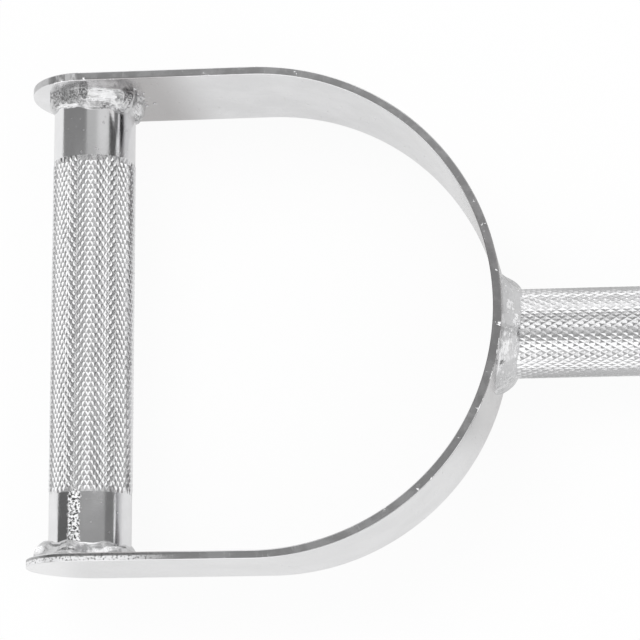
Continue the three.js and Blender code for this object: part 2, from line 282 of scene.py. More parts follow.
class Wire:
    """A socket of a node tree that can be written into sums."""

    def __init__(self, tree, socket):
        self.tree = tree
        self.socket = socket

    def math(self, operation, first, second=0.0):
        return self.tree.node("ShaderNodeMath", {"operation": operation}, {0: first, 1: second})

    def __add__(self, other):
        return self.math("ADD", self, other)

    def __sub__(self, other):
        return self.math("SUBTRACT", self, other)

    def __rsub__(self, other):
        return self.math("SUBTRACT", other, self)

    def __mul__(self, other):
        return self.math("MULTIPLY", self, other)

    __radd__ = __add__
    __rmul__ = __mul__


class Tree:
    """A material's or world's nodes."""

    def __init__(self, owner):
        owner.use_nodes = True
        self.nodes = owner.node_tree.nodes
        self.links = owner.node_tree.links
        self.nodes.clear()

    def add(self, kind, settings=None, sockets=None):
        """A node of that type, its settings set first, then the values or links of its sockets."""
        node = self.nodes.new(kind)
        for name, value in (settings or {}).items():
            setattr(node, name, value)
        for name, value in (sockets or {}).items():
            if isinstance(value, Wire):
                self.links.new(value.socket, node.inputs[name])
            else:
                node.inputs[name].default_value = value
        return node

    def node(self, kind, settings=None, sockets=None, output=0):
        return Wire(self, self.add(kind, settings, sockets).outputs[output])

    def ramp(self, value, low, high, start=0.0, end=1.0):
        """A smooth change from start to end while the value goes from low to high."""
        sockets = {"Value": value, "From Min": low, "From Max": high, "To Min": start, "To Max": end}
        return self.node("ShaderNodeMapRange", {"interpolation_type": "SMOOTHSTEP"}, sockets)

    def between(self, value, low, high, soft):
        """One where the value is between low and high, nothing outside, and soft at the edges."""
        return self.ramp(value, low - soft, low + soft) * self.ramp(value, high + soft, high - soft)

    def noise(self, place, scale, detail=2.0, roughness=0.5):
        sockets = {"Vector": place, "Scale": scale, "Detail": detail, "Roughness": roughness}
        return self.node("ShaderNodeTexNoise", None, sockets)

    def blend(self, factor, first, second):
        sockets = {0: factor, 6: first, 7: second}
        return self.node("ShaderNodeMix", {"data_type": "RGBA"}, sockets, 2)

    def place(self):
        return self.node("ShaderNodeTexCoord", output="Object")

    def mark(self, name, output="Fac"):
        """What a mesh says of its surface under that name."""
        return self.node("ShaderNodeAttribute", {"attribute_name": name}, output=output)

    def unsigned(self, value):
        return self.node("ShaderNodeMath", {"operation": "ABSOLUTE"}, {0: value})

    def stretched(self, place, scale):
        return self.node("ShaderNodeMapping", None, {"Vector": place, "Scale": scale})

    def axes(self, place):
        split = self.add("ShaderNodeSeparateXYZ", None, {0: place})
        return [Wire(self, split.outputs[i]) for i in range(3)]

    def rays(self):
        """Which rays come from the camera, and which from a glossy surface."""
        path = self.add("ShaderNodeLightPath")
        return [Wire(self, path.outputs[name]) for name in ("Is Camera Ray", "Is Glossy Ray")]

    def bump(self, height, distance, strength=1.0):
        sockets = {"Height": height, "Distance": distance, "Strength": strength}
        return self.node("ShaderNodeBump", None, sockets)

    def surface(self, sockets):
        shader = self.node("ShaderNodeBsdfPrincipled", None, sockets)
        self.add("ShaderNodeOutputMaterial", None, {"Surface": shader})


def grey(value):
    return (value, value, value * 1.01, 1.0)


# Finishes

def chrome_color(tree, haze):
    """Chrome's grey, a little uneven."""
    return tree.blend(tree.ramp(haze, 0.35, 0.7), grey(0.80), grey(0.88))


def chrome_plate():
    """Bright chrome over polished steel, with faint drag marks, pits and a light haze."""
    material = bpy.data.materials.new("chrome_plate")
    tree = Tree(material)
    place = tree.place()
    haze = tree.noise(place, 60.0, 4.0, 0.6)
    drag = tree.noise(tree.stretched(place, (1.0, 1.0, 12.0)), 420.0, 3.0, 0.6)
    pits = tree.ramp(tree.noise(place, 900.0, 1.0), 0.70, 0.78)
    color = chrome_color(tree, haze)
    roughness = 0.07 + tree.ramp(haze, 0.4, 0.75) * 0.07 + pits * 0.25
    normal = tree.bump(drag - pits * 0.8, 0.00002, 0.6)
    tree.surface({"Base Color": color, "Metallic": 1.0, "Roughness": roughness, "Normal": normal})
    return material


def strip_plate():
    """Chrome over the bent strip: polished faces, dulled by the welding and, on the inner face by the
    grip, painted darker as shade; sheared edges left dark, chipped along their corners, rubbed bright
    in places, and painted with white glints along one stretch."""
    material = bpy.data.materials.new("strip_plate")
    tree = Tree(material)
    place = tree.place()
    strip = tree.mark("strip", "Vector")
    along, _, through = tree.axes(strip)
    rim = tree.mark("rim")
    sheared = tree.ramp(rim, 0.72, 0.95)
    outer = tree.ramp(through, BAND_THICKNESS * 0.66, BAND_THICKNESS * 0.56)
    inner_face = tree.ramp(through, BAND_THICKNESS * 0.6, BAND_THICKNESS * 0.9)

    haze = tree.noise(place, 55.0, 4.0, 0.6)
    drag = tree.noise(tree.stretched(strip, (1.0, 14.0, 1.0)), 260.0, 3.0, 0.6)
    pits = tree.ramp(tree.noise(place, 800.0, 1.0), 0.69, 0.76)
    grain = tree.noise(place, 1500.0, 3.0, 0.7)
    specks = tree.ramp(grain, 0.41, 0.46)
    corner = tree.ramp(rim, 0.04, 0.16) * tree.ramp(rim, 0.85, 0.60)
    chipped = tree.between(along, *CHIPPED_INNER_CORNER) * inner_face
    chipped = (chipped + tree.between(along, *CHIPPED_OUTER_CORNER) * outer) * corner
    chips = tree.ramp(tree.noise(place, 330.0, 4.0, 0.7) + chipped * 0.15, 0.655, 0.685)
    chips = chips * tree.ramp(rim, 0.04, 0.16)
    streaks = tree.noise(tree.stretched(strip, (1.0, 1.0, 0.2)), 900.0, 3.0, 0.7)
    streaks = tree.ramp(streaks, 0.60, 0.72)
    scored = tree.noise(tree.stretched(strip, (1.0, 1.0, 0.3)), 700.0, 2.0, 0.6)
    scored = tree.ramp(scored, 0.38, 0.50)

    # A stretch of the sheared edge, grainy and grimy, whose outer half is painted with white glints
    wear_and_glints = tree.between(along, *WORN_AND_GLINTING_EDGE)
    scuffed = tree.between(along, *SCUFFED_EDGE) * (0.3 + scored * 0.7) * sheared
    # Painted white glints, coloured white and not metal, together with the white chips and scuffs
    glints_chips_and_scuffs = wear_and_glints * outer * sheared * specks + chips * 0.9 + scuffed * 0.4
    distance = tree.unsigned(along)
    heat_and_shade = tree.ramp(distance, BAR_HEAT_REACH, BAR_HEAT_REACH * 0.4) * 0.8
    # On the inner face by the grip the darkening is also painted shade, for the shadow under the grip
    # that the face reflects
    heat_and_shade = heat_and_shade + tree.between(distance, *GRIP_HEAT_AND_SHADE) * inner_face

    face_color = tree.blend(heat_and_shade, chrome_color(tree, haze), (0.50, 0.485, 0.485, 1.0))
    mottle = tree.ramp(tree.noise(place, 150.0, 4.0, 0.65), 0.42, 0.62)
    edge_color = tree.blend(mottle, grey(0.34), grey(0.50))
    edge_color = tree.blend(streaks * 0.6, edge_color, grey(0.80))
    edge_color = tree.blend(scuffed * 0.8, edge_color, grey(0.95))
    grime = tree.blend(specks, grey(0.05), grey(0.28))
    edge_color = tree.blend(wear_and_glints * (1.0 - outer * specks), edge_color, grime)
    color = tree.blend(sheared, face_color, edge_color)
    color = tree.blend(glints_chips_and_scuffs, color, grey(0.99))
    polished = 0.09 + tree.ramp(haze, 0.4, 0.75) * 0.08 + pits * 0.2 + heat_and_shade * 0.05
    dull = 0.30 + grain * 0.16
    roughness = polished * (1.0 - sheared) + dull * sheared
    metallic = 1.0 - glints_chips_and_scuffs
    relief = (drag * 0.5 - pits) * (1.0 - sheared) + grain * 1.2 * sheared
    normal = tree.bump(relief - chips * 5.0 + wear_and_glints * grain * 2.0, 0.00003, 0.7)
    tree.surface({"Base Color": color, "Metallic": metallic, "Roughness": roughness, "Normal": normal})
    return material


def knurl_plate():
    """Chrome over knurling, its flanks a little matt, and over the plain ends of the tube, where the
    seam is left rough, its grain painted with white glints."""
    material = bpy.data.materials.new("knurl_plate")
    tree = Tree(material)
    place = tree.place()
    haze = tree.noise(place, 70.0, 4.0, 0.6)
    grain = tree.noise(place, 1800.0, 3.0, 0.7)
    pits = tree.ramp(tree.noise(place, 700.0, 1.0), 0.70, 0.76)
    plain = tree.blend(tree.ramp(haze, 0.3, 0.75), grey(0.82), grey(0.90))
    rough = tree.mark("knurl")
    seam = tree.mark("seam")
    ragged = tree.noise(place, 800.0, 3.0, 0.7)
    scar = tree.ramp(seam + (ragged - 0.5) * 0.7, 0.46, 0.54)
    # Painted white glints in the seam's rough grain, with dark specks between, not metal
    seam_glints = tree.ramp(tree.noise(place, 1300.0, 3.0, 0.7), 0.45, 0.53)
    color = tree.blend(scar, plain, tree.blend(seam_glints, grey(0.12), grey(0.95)))
    roughness = 0.07 + rough * 0.07 + tree.ramp(haze, 0.4, 0.8) * 0.07 + pits * 0.2 + scar * 0.25
    metallic = 1.0 - scar * seam_glints * 0.85
    normal = tree.bump(grain * rough * 1.5 - pits * (1.0 - rough) + ragged * scar * 6.0, 0.00003, 0.6)
    tree.surface({"Base Color": color, "Metallic": metallic, "Roughness": roughness, "Normal": normal})
    return material


def weld_plate():
    """Chrome over weld metal: glossy swirled crowns, granular patches, hollows that are rougher and
    painted darker as shade, and placed spots of painted white glints, painted pale sheen and painted
    dark shade."""
    material = bpy.data.materials.new("weld_plate")
    tree = Tree(material)
    place = tree.place()
    flow = tree.mark("flow", "Vector")
    # How deep a place lies in a hollow of the weld: painted shade darkens the colour there, and it is
    # rougher
    shaded_hollow = tree.ramp(tree.mark("hollow"), 0.35, 1.1)
    lumpy = tree.mark("lumpy")
    patches = tree.ramp(tree.noise(place, 190.0, 3.0, 0.6), 0.54, 0.62) * lumpy
    grain = tree.noise(place, 1700.0, 4.0, 0.75)
    swirl = tree.noise(flow, 420.0, 2.0, 0.5)
    streaks = tree.noise(flow, 1300.0, 3.0, 0.6)
    smooth_color = tree.blend(shaded_hollow, grey(0.66), grey(0.24))
    rough_color = tree.blend(tree.ramp(grain, 0.42, 0.62), grey(0.10), grey(0.75))
    color = tree.blend(patches * 0.9, smooth_color, rough_color)
    # Placed spots: painted shade where the tone is below zero, painted white glints and a painted pale
    # sheen where it is above
    tone = tree.mark("tone")
    ragged = tone + (tree.noise(place, 620.0, 4.0, 0.7) - 0.5) * 2.4
    dark = tree.ramp(ragged, -0.25, -0.70)
    bright = tree.ramp(ragged, 0.40, 0.60) * tree.ramp(streaks, 0.38, 0.48)
    pale = tree.ramp(tone, 0.06, 0.22) * tree.ramp(lumpy, 0.7, 0.5)
    color = tree.blend(pale * 0.8, color, grey(0.84))
    # The grainy colour of the painted shade at the dark spots
    shade_color = tree.blend(tree.ramp(grain, 0.42, 0.60), grey(0.12), grey(0.60))
    color = tree.blend(dark, color, shade_color)
    color = tree.blend(bright, color, grey(0.98))
    roughness = 0.06 + patches * 0.16 + shaded_hollow * 0.10 + dark * 0.2 + bright * 0.1
    metallic = (1.0 - bright * 0.8) * (1.0 - pale * 0.45)
    normal = tree.bump(swirl * 3.0 + streaks * 2.0 + grain * (patches + dark) * 2.0, 0.0001, 1.0)
    tree.surface({"Base Color": color, "Metallic": metallic, "Roughness": roughness, "Normal": normal})
    return material


def black_nylon():
    """Turned black nylon with fine tool rings and pale scuffs."""
    material = bpy.data.materials.new("black_nylon")
    tree = Tree(material)
    place = tree.place()
    rings = tree.noise(tree.stretched(place, (30.0, 1.0, 1.0)), 120.0, 2.0)
    scuffs = tree.ramp(tree.noise(place, 380.0, 4.0, 0.7), 0.58, 0.72)
    color = tree.blend(scuffs, (0.018, 0.018, 0.020, 1.0), (0.055, 0.055, 0.058, 1.0))
    roughness = 0.42 + scuffs * 0.25
    normal = tree.bump(rings + scuffs * 0.5, 0.00003, 0.5)
    tree.surface({"Base Color": color, "Roughness": roughness, "Normal": normal})
    return material


def black_oxide():
    """Oxidised steel, rubbed a little brighter in patches."""
    material = bpy.data.materials.new("black_oxide")
    tree = Tree(material)
    place = tree.place()
    rubbed = tree.ramp(tree.noise(place, 900.0, 4.0, 0.7), 0.5, 0.72)
    color = tree.blend(rubbed, (0.035, 0.035, 0.040, 1.0), (0.12, 0.12, 0.125, 1.0))
    roughness = 0.38 + rubbed * 0.15
    normal = tree.bump(rubbed, 0.00002, 0.5)
    tree.surface({"Base Color": color, "Metallic": 0.85, "Roughness": roughness, "Normal": normal})
    return material


# Shapes

def mesh_of(name, bm):
    """The shape as a mesh. The shape itself is freed."""
    mesh = bpy.data.meshes.new(name)
    bm.to_mesh(mesh)
    bm.free()
    return mesh


def put(name, data):
    """A new object in the scene, with that mesh, light or lens."""
    thing = bpy.data.objects.new(name, data)
    bpy.context.scene.collection.objects.link(thing)
    return thing


def keep(name, bm, material, body, nodes, weighted=False):
    """Makes a mesh piece that rides on a body in place of the CAD nodes."""
    mesh = mesh_of(name, bm)
    mesh.materials.append(material)
    piece = put(name, mesh)
    if weighted:
        modifier = piece.modifiers.new("level_faces", "WEIGHTED_NORMAL")
        modifier.keep_sharp = True
    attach(piece, body)
    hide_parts(*nodes)


def placed(bm, matrix):
    bmesh.ops.transform(bm, matrix=matrix, verts=bm.verts)
    return bm


def all_smooth(bm):
    for face in bm.faces:
        face.smooth = True


def all_of(bm):
    return bm.verts[:] + bm.edges[:] + bm.faces[:]


def verts_in(geom):
    return [item for item in geom if isinstance(item, bmesh.types.BMVert)]


def sharp_edges(bm):
    return [edge for edge in bm.edges if edge.calc_face_angle(0) > SHARP_TURN]


def ease(bm, edges, size):
    """Rounds the edges off."""
    bmesh.ops.bevel(bm, geom=edges, offset=size, offset_type="OFFSET", segments=EASE_STEPS,
                    profile=0.5, affect="EDGES", material=-1, clamp_overlap=True)


def smooth_but_for(bm, turn):
    """Smooth faces, with the edges that turn at least that far left sharp."""
    all_smooth(bm)
    for edge in bm.edges:
        edge.smooth = edge.calc_face_angle(0) < turn


def thickened(bm, thickness):
    """Raises a flat shape into a plate."""
    raised = bmesh.ops.extrude_face_region(bm, geom=bm.faces[:])["geom"]
    bmesh.ops.translate(bm, vec=(0, 0, thickness), verts=verts_in(raised))
    bmesh.ops.recalc_face_normals(bm, faces=bm.faces)


def bent(place):
    """Where a point of the flat strip, given along, through and across it, lies once bent."""
    along, through, across = place
    quarter = BOW_RADIUS * math.pi / 2
    radius = BOW_RADIUS - through
    if abs(along) <= quarter:
        angle = along / BOW_RADIUS
        offset = Vector((radius * math.cos(angle), radius * math.sin(angle), across))
    else:
        offset = Vector((quarter - abs(along), math.copysign(radius, along), across))
    return BOW_CENTRE + offset


def bent_band(seed):
    """A flat strip with filed round ends and eased edges, bent into the D."""
    bm = bmesh.new()
    straight = BOW_RADIUS * math.pi / 2 + ARM_LENGTH
    half_width = BAND_WIDTH / 2
    half_turn = math.pi / END_SIDES
    bmesh.ops.create_circle(bm, cap_ends=True, segments=END_SIDES, radius=1)
    bmesh.ops.rotate(bm, cent=(0, 0, 0), matrix=Matrix.Rotation(half_turn, 3, "Z"), verts=bm.verts)
    bmesh.ops.scale(bm, vec=(END_REACH, half_width / math.cos(half_turn), 1), verts=bm.verts)
    for end in (-1, 1):
        tip = [vert for vert in bm.verts if vert.co.x * end > 0]
        bmesh.ops.translate(bm, vec=(end * straight, 0, 0), verts=tip)
    thickened(bm, BAND_THICKNESS)
    ease(bm, sharp_edges(bm), BAND_EASE)
    cuts = [(Vector((end * straight, 0, 0)), Vector((1, 0, 0))) for end in (-1, 1)]
    cuts += [(Vector((0, half_width * (2 * row / BAND_ROWS - 1), 0)), Vector((0, 1, 0)))
             for row in range(1, BAND_ROWS)]
    for place, across in cuts:
        bmesh.ops.bisect_plane(bm, geom=all_of(bm), dist=SAME_PLACE, plane_co=place, plane_no=across)
    lengthwise = [edge for edge in bm.edges if edge.calc_length() > straight]
    bmesh.ops.subdivide_edges(bm, edges=lengthwise, cuts=BAND_STEPS - 1, use_grid_fill=True)
    bm.normal_update()
    flat = bm.verts.layers.float_vector.new("strip")
    shear = bm.verts.layers.float.new("rim")
    start = Vector((seed, 0, 0))
    for vert in bm.verts:
        vert[flat] = vert.co
        vert[shear] = 1 - abs(vert.normal.z)
        wave = noise.noise(vert.co / BAND_WAVE_LENGTH + start) + 1
        through = vert.co.z + BAND_WAVE * wave
        vert.co = bent((vert.co.x, through, vert.co.y))
    bmesh.ops.recalc_face_normals(bm, faces=bm.faces)
    all_smooth(bm)
    return bm


def diamond_row(bm, radius, pitch, low, depth, flank):
    """One ring of raised diamonds about Z whose lower points are at the given height."""
    half_angle = math.pi / KNURL_STARTS
    valley = radius - depth
    side = Matrix.Rotation(half_angle, 3, "Z") @ Vector((valley, 0, 0))
    corners = [
        Vector((valley, 0, low)),
        Vector((side.x, side.y, low + pitch / 2)),
        Vector((valley, 0, low + pitch)),
        Vector((side.x, -side.y, low + pitch / 2)),
    ]
    diamond = bm.faces.new([bm.verts.new(corner) for corner in corners])
    bm.normal_update()
    flanks = bmesh.ops.inset_individual(
        bm, faces=[diamond], thickness=flank, depth=KNURL_RISE + depth,
        use_even_offset=True)["faces"]
    tooth = set(flanks) | {diamond}
    geom = list(tooth | {e for f in tooth for e in f.edges} | {v for f in tooth for v in f.verts})
    bmesh.ops.spin(bm, geom=geom, cent=(0, 0, 0), axis=(0, 0, 1), angle=2 * math.pi,
                   steps=KNURL_STARTS, use_duplicate=True, use_merge=True)


def knurl(radius, low, high, cut, seed):
    """A stretch of diamond knurling about Z."""
    bm = bmesh.new()
    wanted = 2 * math.pi * radius / KNURL_STARTS * KNURL_SLANT
    rows = round(2 * (high - low) / wanted) - 1
    pitch = 2 * (high - low) / (rows + 1)
    diamond_row(bm, radius, pitch, low, **cut)
    bmesh.ops.remove_doubles(bm, verts=bm.verts, dist=SAME_PLACE)
    first = all_of(bm)
    for row in range(1, rows):
        verts = verts_in(bmesh.ops.duplicate(bm, geom=first)["geom"])
        turn = Matrix.Rotation(row % 2 * math.pi / KNURL_STARTS, 3, "Z")
        bmesh.ops.rotate(bm, cent=(0, 0, 0), matrix=turn, verts=verts)
        bmesh.ops.translate(bm, vec=(0, 0, row * pitch / 2), verts=verts)
    bmesh.ops.remove_doubles(bm, verts=bm.verts, dist=KNURL_JOIN)
    dice = random.Random(seed)
    for vert in bm.verts:
        if not vert.is_boundary:
            vert.co += Vector([dice.uniform(-KNURL_JITTER, KNURL_JITTER) for _ in range(3)])
    for face in bm.faces:
        face.smooth = False
    return bm


def boundary_near(bm, height):
    """Open edges whose middles lie near a height."""
    middles = {e: (e.verts[0].co.z + e.verts[1].co.z) / 2 for e in bm.edges if e.is_boundary}
    return [e for e, middle in middles.items() if abs(middle - height) < KNURL_END_REACH]


def turned(profile, steps, closed=True):
    """A profile of radius and height points, spun about Z."""
    bm = bmesh.new()
    verts = [bm.verts.new((radius, 0, height)) for radius, height in profile]
    chain = list(zip(verts, verts[1:]))
    if closed:
        chain.append((verts[-1], verts[0]))
    edges = [bm.edges.new(pair) for pair in chain]
    bmesh.ops.spin(bm, geom=verts + edges, cent=(0, 0, 0), axis=(0, 0, 1), angle=2 * math.pi,
                   steps=steps, use_merge=True, use_duplicate=False)
    bmesh.ops.remove_doubles(bm, verts=bm.verts, dist=SAME_PLACE)
    bmesh.ops.recalc_face_normals(bm, faces=bm.faces)
    all_smooth(bm)
    return bm


def joined(target, *others):
    """Adds the other meshes to the first."""
    for other in others:
        mesh = mesh_of("join", other)
        target.from_mesh(mesh)
        bpy.data.meshes.remove(mesh)
    return target


def knurled_tube(radius, wall, half, zones, cut, seed):
    """A tube about Z with knurled zones, given as low and high ends, along its outside."""
    steps = 2 * KNURL_STARTS
    bore = radius - wall
    first, last = zones[0][0] - KNURL_FADE, zones[-1][1] + KNURL_FADE
    bm = turned([(radius, last), (radius, half), (bore, half), (bore, -half), (radius, -half),
                 (radius, first)], steps, closed=False)
    for (_, low), (high, _) in zip(zones, zones[1:]):
        plain = [(radius, low + KNURL_FADE), (radius, high - KNURL_FADE)]
        joined(bm, turned(plain, steps, closed=False))
    joined(bm, *[knurl(radius, low, high, cut, seed + i) for i, (low, high) in enumerate(zones)])
    for end in [z for zone in zones for z in zone]:
        for face in bmesh.ops.bridge_loops(bm, edges=boundary_near(bm, end))["faces"]:
            face.smooth = False
    bmesh.ops.recalc_face_normals(bm, faces=bm.faces)
    pattern = bm.verts.layers.float.new("knurl")
    for vert in bm.verts:
        vert[pattern] = 0.0 if all(face.smooth for face in vert.link_faces) else 1.0
    for edge in bm.edges:
        if len({face.smooth for face in edge.link_faces}) > 1 or edge.calc_face_angle(0) > SHARP_TURN:
            edge.smooth = False
    return bm


def mark_seam(bm, turn, half_turn, top):
    """Marks the line of a tube's seam below a height, from one on the line to a half at its sides."""
    seam = bm.verts.layers.float.new("seam")
    for vert in bm.verts:
        if vert.co.z < top:
            aside = abs(math.atan2(vert.co.x, -vert.co.y) - turn)
            vert[seam] = max(0.0, 1 - aside / (2 * half_turn))


def unevenness(place, start):
    """Lumps of weld metal, from broad to fine, as a height."""
    return sum(rise * noise.noise(place / size + start) for size, rise in LUMPS)


def spot_tone(around, share, spots):
    """How much painted glint and pale sheen a place on a weld gets, or painted shade where it is below
    zero.
    """
    tone = 0.0
    for turn, level, half_turn, half_level, value in spots:
        aside = (math.degrees(around) - turn + 180) % 360 - 180
        reach = math.hypot(aside / half_turn, (share - level) / half_level)
        tone += value * max(0.0, 1 - reach ** 2)
    return tone


def ring_size(heading, start, rise, spread, lean):
    """How wide and how high a ring of weld is on one side, and how far its section bulges."""
    share, swells = WIDTH_SWELL
    wide = math.hypot(spread[0] * heading.x, spread[1] * heading.y) * (1 - lean * heading.x)
    wide *= 1 + share * noise.noise(heading * swells + start)
    share, swells = HEIGHT_SWELL
    high = rise * (1 - lean / 2 * heading.x)
    high *= 1 + share * noise.noise(heading * swells - start)
    middle, swing, least, swells = FATNESS
    fat = middle + swing * noise.noise(heading * swells + start * 2)
    return wide, high, min(max(fat, least), 1.0)


def weld_ring(radius, rise, seed, spread, lean, lumps, spots, foot=lambda aside: 0.0):
    """A weld bead about Z round a tube, fat in some places and hollow in others, with lapped
    puddles along it. It stands on height zero, or lower by foot(x)."""
    shares = [row / WELD_ROWS for row in range(WELD_ROWS + 1)]
    reach = max(spread)
    slope = [(radius + reach * (1 - share), rise * share) for share in shares]
    bore = radius - SEAT_GAP
    under = [(bore, -WELD_SINK), (radius + reach, -WELD_SINK)]
    bm = turned(under + slope + [(bore, rise)], WELD_STEPS)
    flow = bm.verts.layers.float_vector.new("flow")
    hollow = bm.verts.layers.float.new("hollow")
    lumpy = bm.verts.layers.float.new("lumpy")
    toned = bm.verts.layers.float.new("tone")
    start = Vector((seed * LUMP_SEED_STEP, 0, 0))
    puddles = round(2 * math.pi * radius / PUDDLE_PITCH)
    for vert in bm.verts:
        around = math.atan2(vert.co.y, vert.co.x)
        out = vert.co.xy.length
        heading = Vector((math.cos(around), math.sin(around), 0))
        share = min(max(vert.co.z / rise, 0.0), 1.0)
        vert[flow] = heading * radius * FLOW_SHARE + Vector((0, 0, share * (rise + reach)))
        vert[lumpy] = lumps
        # The spots' painted glints, sheen and shade, for the shader
        vert[toned] = spot_tone(around, share, spots)
        wide, high, fat = ring_size(heading, start, rise, spread, lean)
        angle = share * math.pi / 2
        vert[hollow] = 0.0
        if out > radius or share > 0:
            width = wide * (fat * math.cos(angle) + (1 - fat) * (1 - math.sin(angle)))
            height = high * (fat * math.sin(angle) + (1 - fat) * (1 - math.cos(angle)))
            lap = around * puddles / (2 * math.pi) + PUDDLE_LAP * (2 * share - 1) ** 2
            bulge = PUDDLE_RISE * abs(math.sin(math.pi * lap)) ** PUDDLE_ROUNDNESS
            bulge += lumps * unevenness(Vector((out * heading.x, out * heading.y, vert.co.z)), start)
            vert[hollow] = -bulge / HOLLOW_DEPTH
            bulge += SPOT_RELIEF * max(-SPOT_SINK_MOST, min(vert[toned], 1.0))
            bulge *= min(1.0, math.sin(math.pi * share) * 3)
            if out > bore + SEAT_GAP / 2:
                out = radius + width + bulge * math.cos(angle)
            up = height + bulge * math.sin(angle) if vert.co.z >= 0 else vert.co.z
            vert.co = heading * out + Vector((0, 0, up))
        vert.co.z -= foot(vert.co.x)
    bmesh.ops.recalc_face_normals(bm, faces=bm.faces)
    all_smooth(bm)
    return bm


def spatter(bm, radius, seed):
    """Droplets of weld metal on the faces outside a radius, most of them to one side."""
    dice = random.Random(seed)
    narrow, wide, low = SPATTER_SQUASH
    for _ in range(SPATTER_COUNT):
        around = dice.gauss(0, SPATTER_SPREAD)
        away = radius + dice.expovariate(1) * SPATTER_REACH
        place = Matrix.Translation((away * math.cos(around), away * math.sin(around), 0))
        squash = Matrix.Diagonal((1, dice.uniform(narrow, wide), low, 1))
        size = dice.uniform(*SPATTER_SIZE)
        bmesh.ops.create_icosphere(bm, subdivisions=2, radius=size, matrix=place @ squash)
    all_smooth(bm)


def bow_drop(aside):
    """How far the bow's outer face falls back, that far to its side of the bar's axis."""
    from_middle = aside - BOW_CENTRE.y
    return BOW_RADIUS - math.sqrt(BOW_RADIUS ** 2 - from_middle ** 2)


def handle(side, turn, strip, knurled, weld):
    """One closed handle, built as the left one and turned to its side."""
    seed = HANDLE_SEEDS[side]
    band = placed(bent_band(seed), turn)
    keep(f"{side}_bent_band", band, strip, "frame", [f"{side}_handle_band"], weighted=True)

    along_y = Matrix.Rotation(-math.pi / 2, 4, "X")
    grip_place = Matrix.Translation((GRIP_X, BOW_CENTRE.y, AXIS_HEIGHT))
    zone = (-GRIP_KNURL_HALF, GRIP_KNURL_HALF)
    tube = knurled_tube(GRIP_RADIUS, GRIP_WALL, BOW_INNER, [zone], GRIP_KNURL, seed)
    mark_seam(tube, SEAM_TURN, SEAM_HALF_TURN, -GRIP_KNURL_HALF - KNURL_FADE / 2)
    placed(tube, turn @ grip_place @ along_y)
    keep(f"{side}_grip_tube", tube, knurled, "frame", [f"{side}_grip"])

    names = {"left": ("front", "back"), "right": ("back", "front")}[side]
    for name, end, form in zip(names, (-1, 1), (FRONT_GRIP_WELD, BACK_GRIP_WELD)):
        ring = weld_ring(GRIP_RADIUS, GRIP_WELD_RISE, seed + end, **form)
        spatter(ring, GRIP_RADIUS + form["spread"][0], seed + end)
        seat = Matrix.Translation((GRIP_X, BOW_CENTRE.y + end * BOW_INNER, AXIS_HEIGHT))
        lie = Matrix.Rotation(end * math.pi / 2, 4, "X")
        placed(ring, turn @ seat @ lie)
        keep(f"{side}_{name}_grip_bead", ring, weld, "frame", [f"{side}_grip_{name}_weld"])

    ring = weld_ring(BAR_RADIUS, BAR_WELD_RISE, seed + 3, foot=bow_drop, **BAR_WELD)
    seat = Matrix.Translation((CROWN_X, 0, AXIS_HEIGHT))
    lie = Matrix.Rotation(math.pi / 2, 4, "X") @ ALONG_BAR
    placed(ring, turn @ seat @ lie)
    keep(f"{side}_bar_bead", ring, weld, "frame", [f"{side}_bar_weld"])


def cross_tube(knurled):
    """The bar, its ends following the bows."""
    half = -CROWN_X
    zones = [(-BAR_KNURL_TO, -BAR_KNURL_FROM), (BAR_KNURL_FROM, BAR_KNURL_TO)]
    tube = knurled_tube(BAR_RADIUS, BAR_WALL, half, zones, BAR_KNURL, BAR_SEED)
    placed(tube, AT_AXIS @ ALONG_BAR)
    for vert in tube.verts:
        if abs(vert.co.x) > half - BAR_WELD_RISE / 2:
            end = math.copysign(1, vert.co.x)
            vert.co.x += end * bow_drop(vert.co.y * -end)
    keep("cross_tube", tube, knurled, "frame", ["cross_bar"])


def cut_by(bm, cutter):
    """The first mesh less the second."""
    whole, tool = [put("cut", mesh_of("cut", shape)) for shape in (bm, cutter)]
    modifier = whole.modifiers.new("cut", "BOOLEAN")
    modifier.operation = "DIFFERENCE"
    modifier.object = tool
    bpy.context.view_layer.update()
    result = bmesh.new()
    result.from_object(whole, bpy.context.evaluated_depsgraph_get())
    for holder in (whole, tool):
        mesh = holder.data
        bpy.data.objects.remove(holder)
        bpy.data.meshes.remove(mesh)
    return result


def rod(radius, half, steps=ROUND_STEPS):
    """A plain cylinder about Z, centred on the origin."""
    return turned([(0, -half), (radius, -half), (radius, half), (0, half)], steps)


def eased_ring(bore, radius, half, size):
    """A ring about Z whose outer edges are rounded."""
    bm = turned([(bore, -half), (radius, -half), (radius, half), (bore, half)], ROUND_STEPS)
    outer = [e for e in sharp_edges(bm) if e.verts[0].co.xy.length > (bore + radius) / 2]
    ease(bm, outer, size)
    return bm


def sleeve(chrome, hanger_place):
    bm = eased_ring(SLEEVE_RADIUS - SLEEVE_WALL, SLEEVE_RADIUS, SLEEVE_HALF, SLEEVE_EASE)
    all_smooth(bm)
    placed(bm, hanger_place @ ALONG_BAR)
    keep("turned_sleeve", bm, chrome, "hanger", ["hanger_sleeve"], weighted=True)


